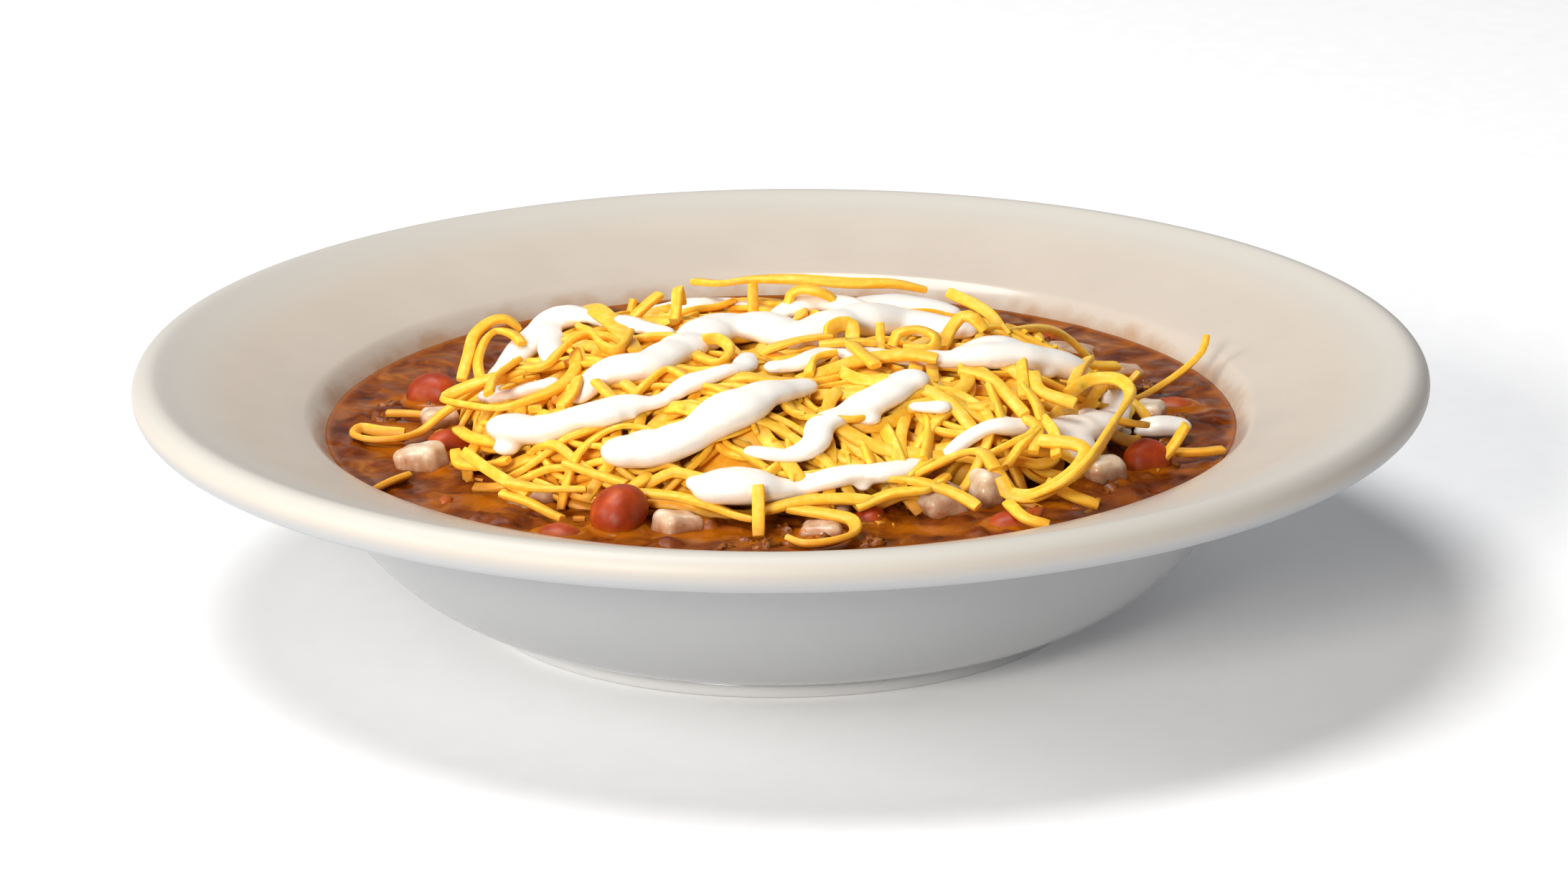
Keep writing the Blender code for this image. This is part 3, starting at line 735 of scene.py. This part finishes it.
# a ball of radius 1: a half circle, turned
BALL_POINTS, BALL_FACES = turned(arc((0, 0), 1, -90, 90, 10), 14)
BALL_POINTS = np.array(BALL_POINTS)


def join_balls(name, shapes, finish):
    """One mesh of several balls, given the points of each in their place."""
    faces = [tuple(i * len(BALL_POINTS) + v for v in face)
             for i in range(len(shapes)) for face in BALL_FACES]
    return build_mesh(name, np.concatenate(shapes), faces, finish)


def remake_smooth(thing, voxel, rounds):
    """Remake a piece's skin on a fine grid, then smooth it."""
    remesh = thing.modifiers.new("skin", "REMESH")
    remesh.mode = "VOXEL"
    remesh.voxel_size = voxel * MM
    soften = thing.modifiers.new("soften", "SMOOTH")
    soften.factor = 0.5
    soften.iterations = rounds


def apply_modifiers(thing):
    """Replace a piece's mesh by what its modifiers make of it."""
    graph = bpy.context.evaluated_depsgraph_get()
    settled = bpy.data.meshes.new_from_object(thing.evaluated_get(graph))
    thing.modifiers.clear()
    thing.data = settled
    settled.shade_smooth()


# Sour cream: dense white fat and water; light goes a little way in, and its skin is
# smooth with a soft shine.
cream, cream_shader, cream_place = new_finish("sour_cream_skin", IOR=1.4, Subsurface_Weight=0.3,
                                              Subsurface_Scale=1.6 * MM, Roughness=0.3,
                                              Subsurface_Radius=(1.0, 0.8, 0.6))
curd = add_node(cream, "TexNoise", {"Vector": cream_place}, {"Scale": 1 / (3.0 * MM)})
curd_colour = add_node(cream, "ValToRGB", {"Fac": curd},
                       stops=[(0.3, "#F0EAE0"), (0.7, "#F5F0E8")])
plug(cream, curd_colour, cream_shader, "Base Color")
curd_bump = add_node(cream, "Bump", {"Height": curd}, {"Strength": 0.15, "Distance": 0.3 * MM})
plug(cream, curd_bump, cream_shader, "Normal")


def cream_ball(x, y, half, lift):
    """A flattened ball of cream lying on the heap, as (place, three radii)."""
    low = CHILI_LEVEL + max(float(heap_height(np.array([x]), np.array([y]))[0]), 1.8)
    waves = 0.45 * noise_at(x, y, 5.5, 23.0)
    return np.array((x, y, low + lift + waves)), np.array((half, half, CREAM_FLATNESS * half))


for name, paths in RIBBONS.items():
    balls = []
    for path in paths:
        for x, y, half in smooth_path(path, CREAM_SPACING):
            half = max(half, THINNEST_CREAM) * (1.08 + 0.38 * noise_at(x, y, 6.0, 21.0))
            balls.append(cream_ball(x, y, half, 0.15 * half))
            if rng.random() < LOBE_CHANCE:
                turn, size = rng.uniform(0, 2 * math.pi), half * rng.uniform(0.35, 0.6)
                reach = half - 0.5 * size
                balls.append(cream_ball(x + reach * math.cos(turn), y + reach * math.sin(turn),
                                        size, 0.1))
    piece = join_balls(name + "_ribbon", [BALL_POINTS * radii + place for place, radii in balls],
                       cream)
    remake_smooth(piece, CREAM_VOXEL, CREAM_ROUNDS)
    apply_modifiers(piece)
    for place, radii in balls:
        stamp(place[:1], place[1:2], place[2] + radii[2] * 0.95, radii[0] * 0.8)
    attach(piece, "root")
    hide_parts(name)

# ---------------------------------------------------------------------------------
# The last shreds.  Cheddar grated on after the cream was poured: it lies over the cream,
# arches up, or hangs over the heap's edge on to the chili.

# each is its breadth as a share of a loose shred's, and rows of (x, y, height above the
# table) in mm; at height 0 it just lies on what is under it
TOP_SHREDS = [
    (1, [(-16, 29, 52), (-11, 24, 53), (-5, 23, 54), (3, 21, 54.5), (13, 20, 54), (21, 21, 53.5),
         (27, 22, 52)]),
    (1, [(31, 20, 52), (36, 15, 51), (39, 12, 49.5), (41, 9, 47)]),
    (0.9, [(-5, 18, 49), (-5, 19, 52), (-5, 20, 54)]),
    (1, [(1, 15, 50), (2, 16, 53), (4, 16, 54), (6, 15, 54), (9, 15, 53), (12, 15, 50)]),
    (1, [(-27, 12, 50), (-24, 15, 52), (-22, 17, 53)]),
    (1, [(-21, 2, 0), (-19, 8, 52), (-18, 13, 52.5)]),
    (1, [(-31, 16, 0), (-27, 21, 51)]),
    (1.7, [(-37, 20, 49), (-34, 14, 51), (-31, 7, 51), (-28, -2, 50.5), (-26, -10, 50)]),
    (1, [(-58, 0, 42), (-57, 4, 45), (-56, 10, 47.5), (-53, 14, 49), (-50, 15, 49),
         (-48, 16, 47)]),
    (1, [(-54, -6, 43), (-55, 1, 45), (-54, 8, 47), (-52, 11, 48), (-49, 9, 48), (-47, 6, 47)]),
    (1, [(-52, -25, 47), (-51, -18, 48), (-47, -11, 49)]),
    (1.1, [(-50, -10, 47), (-46, -13, 48), (-42, -14, 49), (-40, -10, 50), (-37, -6, 51.5),
           (-34, -5, 52), (-32, -11, 51.5), (-29, -12, 51), (-27, -3, 51.5)]),
    (1.1, [(-37, -6, 49), (-37, -15, 48), (-40, -22, 47), (-45, -26, 46), (-50, -27, 45),
           (-56, -22, 44), (-60, -17, 43.5), (-58, -15, 44.5), (-52, -14, 46.5), (-44, -13, 48),
           (-39, -12, 48.5)]),
    (1, [(-46, -14, 47), (-53, -12, 45), (-58, -10, 41), (-62, -8, 37.5), (-65, -9, 35.2),
         (-69, -12, 34.8), (-74, -12, 34.6), (-77, -9, 34.6), (-76, -6, 34.8), (-72, -8, 34.8),
         (-68, -9, 34.8)]),
    (0.8, [(-72, 4, 34.6), (-67, 3, 34.8), (-63, 2, 34.6)]),
    (0.9, [(-72, -41, 34.2), (-69, -37, 34.5), (-66, -33, 34.4)]),
    (1, [(-58, -27, 37), (-57, -33, 36.5), (-53, -36, 37), (-48, -39, 39)]),
    (1, [(-58, -20, 39), (-55, -27, 39.5), (-50, -32, 40), (-44, -34, 40)]),
    (1, [(-56, -37, 40), (-52, -43, 39), (-48, -48, 38), (-44, -52, 37)]),
    (0.8, [(-49, -50, 36.5), (-44, -54, 36), (-40, -58, 35.2), (-38, -60, 35)]),
    (1, [(-48, -50, 38.5), (-42, -52, 38), (-34, -53, 38)]),
    (1, [(-38, -47, 41), (-33, -50, 40), (-27, -53, 39)]),
    (1, [(-23, -51, 40), (-25, -53, 39), (-29, -57, 37)]),
    (0.9, [(-27, -55, 38), (-19, -57, 38), (-13, -59, 37), (-8, -62, 36), (-5, -63, 35.5)]),
    (1.05, [(-4, -61, 41), (-4, -64, 38), (-4, -67, 35), (-4, -68, 34)]),
    (1, [(-3, -61, 36.5), (4, -59, 37.5), (11, -58, 37.5), (16, -58, 37)]),
    (1, [(13, -59, 36.2), (19, -57, 38), (25, -56, 38.5), (29, -53, 40)]),
    (1, [(18, -54, 40), (24, -55, 39.5), (30, -57, 38), (34, -60, 36.5)]),
    (1.1, [(1, -60, 36.5), (8, -62, 36), (12, -64, 35.6), (12.5, -69, 35), (9, -73, 34.8),
           (4, -74, 34.6), (1, -72, 35)]),
    (1, [(-28, -49, 41.5), (-29, -41, 44.5), (-28, -35, 47), (-23, -27, 50), (-20, -24, 51),
         (-17, -27, 50.5), (-15, -30, 49), (-16, -34, 47)]),
    (1, [(-27, -44, 44), (-21, -41, 45), (-14, -37, 46), (-9, -32, 47)]),
    (1, [(-32, -41, 44), (-31, -38, 45.5), (-29, -38, 45.5), (-26, -40, 45)]),
    (1, [(-36, -24, 49.5), (-37, -29, 48), (-39, -32, 46.5)]),
    (1, [(-33, -26, 49.5), (-31, -29, 48.5), (-29, -32, 47.5)]),
    (1, [(-28, -27, 49.5), (-26, -29, 48.5), (-25, -32, 47.5)]),
    (1, [(-16, -9, 51), (-15, -14, 50.5), (-11, -18, 50.5), (-9, -14, 51.5), (-11, -9, 52),
         (-14, -9, 52)]),
    (1, [(-11, -23, 50), (-9, -23, 50.5), (-7, -28, 49.5), (-10, -29, 48.5)]),
    (1, [(-15, -48, 41), (-10, -43, 43.5), (-4, -40, 45)]),
    (1.1, [(-4, -33, 47), (1, -32, 48), (5, -31, 48.5)]),
    (1, [(2, -41, 44.5), (5, -47, 42.5), (8, -51, 41)]),
    (1, [(11, -42, 44), (12, -49, 41.5), (13, -54, 39.5)]),
    (1.1, [(7, -45, 43.5), (10, -48, 42), (14, -51, 41)]),
    (1.1, [(7, -49, 41.5), (10, -51, 41), (12, -53, 40)]),
    (1.15, [(10, -35, 46), (14, -43, 44), (16, -51, 41)]),
    (1.15, [(16, -34, 46.5), (19, -43, 44), (21, -50, 41)]),
    (1, [(22, -37, 46), (21, -43, 44), (21, -49, 41.5)]),
    (1, [(25, -32, 47.5), (26, -41, 45), (25, -50, 42)]),
    (1, [(26, -49, 41.5), (23, -52, 40.5), (21, -55, 39)]),
    (1.1, [(24, -35, 46), (27, -41, 44.5), (34, -42, 44), (38, -38, 45), (39, -34, 46)]),
    (1.2, [(14, -34, 47), (21, -36, 47), (29, -34, 48), (33, -28, 49), (33, -22, 49.5)]),
    (1.1, [(32, -23, 50), (37, -26, 49.5), (40, -32, 48), (43, -37, 46)]),
    (1.2, [(3, -25, 49), (9, -22, 50), (15, -19, 51), (23, -18, 51.5), (28, -19, 51)]),
    (1, [(26, -37, 46.5), (32, -36, 47), (38, -36, 47)]),
    (1, [(37, -29, 49), (38, -34, 47.5), (39, -39, 45.5)]),
    (1, [(43, -21, 51), (43, -27, 49.5), (43, -33, 48)]),
    (1.1, [(45, -25, 50), (46, -31, 48.5), (52, -34, 47)]),
    (1, [(43, -29, 49), (45, -35, 47.5), (46, -40, 45.5)]),
    (1, [(43, -39, 46), (45, -42, 45), (44, -48, 42.5)]),
    (1, [(46, -39, 46), (48, -44, 44.5), (48, -49, 42)]),
    (1, [(39, -52, 41), (42, -47, 43.5), (45, -42, 45)]),
    (1, [(36, -48, 42), (40, -46, 43.5), (44, -44, 44.5)]),
    (1.2, [(22, -52, 39), (27, -53, 42), (32, -54, 44.5), (35, -56, 45), (37, -59, 43)]),
    (1.2, [(38, -57, 41), (39, -58, 38.5), (43, -59, 38), (47, -57, 39), (51, -54, 41),
           (53, -50, 43), (51, -48, 44), (45, -46, 44)]),
    (1, [(39, -59, 37), (42, -65, 36), (46, -66, 35)]),
    (1, [(46, -54, 39), (50, -55, 37), (55, -55, 35)]),
    (1.1, [(43, -61, 38.5), (48, -62, 41), (52, -60, 43.5), (55, -54, 45), (59, -41, 46.5),
           (62, -28, 47), (60, -21, 47.5), (55, -20, 47), (51, -25, 46)]),
    (1, [(59, -31, 43), (63, -27, 41), (65, -24, 40)]),
    (1, [(67, -30, 34.3), (70, -29, 38), (72, -29, 41.5)]),
    (0.9, [(70, -26, 35.3), (75, -25, 35), (79, -23, 34.8)]),
    (0.62, [(60, -1, 37), (64, 4, 35.8), (69, 12, 35.6), (74, 18, 37), (78, 22, 39.6),
            (79, 24, 42.2)]),
    (0.6, [(62, 10, 35.5), (64, 14, 36), (66, 16, 37.5)]),
    (1, [(41, 8, 48), (48, 20, 45), (53, 28, 41), (58, 29, 36)]),
    (1, [(53, 5, 43), (58, 9, 41), (62, 12, 40)]),
    (1, [(52, -20, 46), (54, -11, 46.5), (56, -3, 46)]),
    (1, [(57, 5, 41), (59, 6, 39), (61, 8, 37)]),
    (1, [(53, -22, 46), (55, -17, 46), (59, -11, 44.5), (61, -6, 41)]),
    (1, [(46, -33, 46.5), (45, -28, 48), (43, -26, 49)]),
    (1.2, [(29, -9, 50), (31, -3, 52), (33, -1, 53.5), (35, -2, 53.5), (37, -3, 51.5)]),
    (0.8, [(18, -12, 50), (18, -9, 52.5), (18, -8, 54.6)]),
    (1.3, [(9, -9, 51), (9, -7, 53), (11, -5, 53.5), (13, -5, 53), (13, -8, 51)]),
    (1, [(20, -11, 51), (21, -10, 53), (25, -9, 53.5), (28, -11, 52.5), (27, -13, 51),
         (22, -13, 51)]),
    (1.2, [(12, -12, 52.5), (14, -17, 52), (17, -23, 51)]),
    (1.5, [(-3, -13, 51), (0, -13, 52), (4, -11, 52.5), (9, -9, 52.5)]),
    (1, [(7, -13, 52), (12, -13, 52.5), (17, -12, 52)]),
    (1, [(5, -25, 50), (6, -20, 51.5), (10, -18, 52)]),
]

top_shreds = Shreds()
for breadth, rows in TOP_SHREDS:
    path = smooth_path(rows, 1.0)
    width = SHRED_WIDTH * breadth
    # the broadest come off the grater as thin slices
    thickness = SHRED_THICKNESS * (1.0 if breadth < 1.4 else 0.7)
    if any(row[2] == 0 for row in rows):
        z = settle(path[:, 0], path[:, 1], width / 2, thickness)
        z = np.maximum(z, np.where(path[:, 2] > CHILI_LEVEL, path[:, 2], 0))
    else:
        z = path[:, 2]
    top_shreds.add(path[:, 0], path[:, 1], z, width, thickness, rolls(len(path)))
over = top_shreds.finish("cheese_shreds_on_top", cheddar)
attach(over, "root")
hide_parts("cheese")

# ---------------------------------------------------------------------------------
# The mince.  Crumbs of browned beef, broken up in the pan, that lie half under the sauce
# round the heap.

MINCE_COUNT = 70
MINCE_SIZE = (0.7, 2.2)


def make_lumps(name, rows, finish, knobs):
    """Knobbly lumps joined in one mesh; each row is (place, three radii, turn)."""
    lumps = []
    for place, radii, turn in rows:
        lump = BALL_POINTS * radii
        lump *= [[1 + knobs * noise.noise(Vector(p * 1.5 + place))] for p in lump]
        lumps.append(lump @ np.array(Matrix.Rotation(turn, 3, "Z")).T + place)
    made = join_balls(name, lumps, finish)
    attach(made, "root")
    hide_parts("chili")
    return made


# Browned mince: fibrous and wet, with the sauce's colour in its hollows.
mince, mince_shader, mince_place = new_finish("browned_mince", IOR=1.4, Roughness=0.3)
fibres = add_node(mince, "TexNoise", {"Vector": mince_place},
                  {"Scale": 1 / (0.9 * MM), "Detail": 5.0, "Roughness": 0.6})
fibre_colour = add_node(mince, "ValToRGB", {"Fac": fibres},
                        stops=[(0.35, "#572405"), (0.52, "#84430A"), (0.68, "#A9661A")])
plug(mince, fibre_colour, mince_shader, "Base Color")
fibre_bump = add_node(mince, "Bump", {"Height": fibres}, {"Strength": 0.6, "Distance": 0.3 * MM})
plug(mince, fibre_bump, mince_shader, "Normal")

crumb_rows = []
while len(crumb_rows) < MINCE_COUNT:
    x, y = rng.uniform(-75, 75, 2)
    if math.hypot(x, y) < 74 and heap_share(x, y) > 1.02 and noise_at(x, y, 12.0, 51.0) > -0.1:
        size = rng.uniform(*MINCE_SIZE)
        crumb_rows.append((np.array((x, y, CHILI_LEVEL + chili_surface(x, y)[0] - 0.3 * size)),
                           np.array((size * 1.4, size, size * 0.65)), rng.uniform(0, math.pi)))
minced_beef = make_lumps("minced_beef", crumb_rows, mince, 0.95)

# ---------------------------------------------------------------------------------
# The beans and the onion.  Boiled kidney beans in tight shiny skins, a few split skins,
# and raw white onion diced with a knife.  The whole ones take their shape from the solids.

# split skins, as (x, y, half length, half width) in mm
BEAN_SCRAPS = [(-59, -45, 2.6, 1.4), (-38, -43, 2.0, 1.5), (-38, -28, 1.8, 1.5),
               (44, -55, 4.2, 1.9), (50, 50, 4.0, 1.8), (72, 8, 3.4, 2.2)]
BEAN_GROWTH = 0.45
BEAN_STRETCH = 0.12
ONION_GROWTH = 0.5
ONION_UNEVENNESS = 0.25
ONION_VOXEL = 0.25


def grown_from_solid(node, name, finish, voxel=None):
    """A fine smooth copy of a coarse solid's shape, remade on a grid if a voxel is given."""
    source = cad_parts[node]
    points = [tuple(v.co / MM) for v in source.data.vertices]
    faces = [tuple(p.vertices) for p in source.data.polygons]
    made = build_mesh(name, points, faces, finish)
    weld = made.modifiers.new("weld", "WELD")
    weld.merge_threshold = 0.02 * MM
    if voxel:
        remake_smooth(made, voxel, 12)
    else:
        fine = made.modifiers.new("fine", "SUBSURF")
        fine.levels = fine.render_levels = 2
    apply_modifiers(made)
    return made


def push_out(thing, distance, unevenness):
    """Move a piece's skin outwards by a distance and by smooth bumps, in millimetres."""
    places = [(corner.co.copy(), corner.normal.copy()) for corner in thing.data.vertices]
    for corner, (place, way) in zip(thing.data.vertices, places):
        corner.co = place + way * (distance + unevenness * noise.noise(place / (3.0 * MM))) * MM
    thing.data.update()


def coat_with_sauce(finish, place, colour, depth):
    """Mix sauce over a colour up to a depth above the chili, with an uneven top edge."""
    height = add_node(finish, "SeparateXYZ", {"Vector": place})
    runs = add_node(finish, "TexNoise", {"Vector": place},
                    {"Scale": 1 / (1.8 * MM), "Detail": 3.0})
    ragged = add_node(finish, "Math", {0: runs, 2: height.outputs["Z"]}, {1: -2.6 * depth * MM},
                      operation="MULTIPLY_ADD")
    share = add_node(finish, "MapRange", {"Value": ragged},
                     {"From Min": (CHILI_LEVEL + 0.4 * depth) * MM,
                      "From Max": (CHILI_LEVEL - 1.4 * depth) * MM, "To Max": 0.85})
    return add_node(finish, "Mix", {0: share, UNDER: colour}, {OVER: linear("#A85A14")},
                    data_type="RGBA")


# Kidney beans: boiled skins, tight and satiny, with fine pores that catch the light.
bean_skin, bean_shader, bean_place = new_finish("bean_skin", IOR=1.38, Roughness=0.44,
                                                Subsurface_Weight=0.15, Subsurface_Scale=1.0 * MM,
                                                Subsurface_Radius=(1.0, 0.3, 0.1))
blush = add_node(bean_skin, "TexNoise", {"Vector": bean_place},
                 {"Scale": 1 / (4.0 * MM), "Detail": 3.0})
blush_colour = add_node(bean_skin, "ValToRGB", {"Fac": blush},
                        stops=[(0.3, "#8A2A06"), (0.55, "#A83C0C"), (0.75, "#BE5618")])
bean_coated = coat_with_sauce(bean_skin, bean_place, blush_colour, 1.0)
plug(bean_skin, bean_coated.outputs[MIXED], bean_shader, "Base Color")
pores = add_node(bean_skin, "TexNoise", {"Vector": bean_place}, {"Scale": 1 / (0.5 * MM)})
pores_bump = add_node(bean_skin, "Bump", {"Height": pores},
                      {"Strength": 0.3, "Distance": 0.06 * MM})
plug(bean_skin, pores_bump, bean_shader, "Normal")

# Raw onion: glassy wet flesh that light sinks into, stained where it stands in the sauce.
onion_flesh, onion_shader, onion_place = new_finish("onion_flesh", IOR=1.38, Roughness=0.22,
                                                    Subsurface_Weight=0.7,
                                                    Subsurface_Scale=2.6 * MM,
                                                    Subsurface_Radius=(1.0, 0.75, 0.55))
cloudy = add_node(onion_flesh, "TexNoise", {"Vector": onion_place},
                  {"Scale": 1 / (2.5 * MM), "Detail": 3.0})
cloudy_colour = add_node(onion_flesh, "ValToRGB", {"Fac": cloudy},
                         stops=[(0.32, "#CDB391"), (0.66, "#E6D5BE")])
onion_coated = coat_with_sauce(onion_flesh, onion_place, cloudy_colour, 2.4)
plug(onion_flesh, onion_coated.outputs[MIXED], onion_shader, "Base Color")
grainy = add_node(onion_flesh, "TexNoise", {"Vector": onion_place},
                  {"Scale": 1 / (0.6 * MM), "Detail": 3.0})
grainy_bump = add_node(onion_flesh, "Bump", {"Height": grainy},
                       {"Strength": 0.35, "Distance": 0.1 * MM})
plug(onion_flesh, grainy_bump, onion_shader, "Normal")

scrap_rows = [(np.array((x, y, CHILI_LEVEL + chili_surface(x, y)[0] - 0.2)),
               np.array((length, width, 1.0)), x * 0.03)
              for x, y, length, width in BEAN_SCRAPS]
scraps = make_lumps("bean_scraps", scrap_rows, bean_skin, 0.35)

for node in sorted(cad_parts):
    if node.startswith("bean_"):
        piece = grown_from_solid(node, "kidney_" + node, bean_skin)
        # the solids are cut a little small by their flat faces
        push_out(piece, BEAN_GROWTH, 0.0)
        for corner in piece.data.vertices:
            corner.co.z += BEAN_STRETCH * max(corner.co.z - CHILI_LEVEL * MM, 0)
    elif node.startswith("onion_"):
        piece = grown_from_solid(node, "diced_" + node, onion_flesh, ONION_VOXEL)
        push_out(piece, ONION_GROWTH, ONION_UNEVENNESS)
    else:
        continue
    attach(piece, "root")
    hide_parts(node)
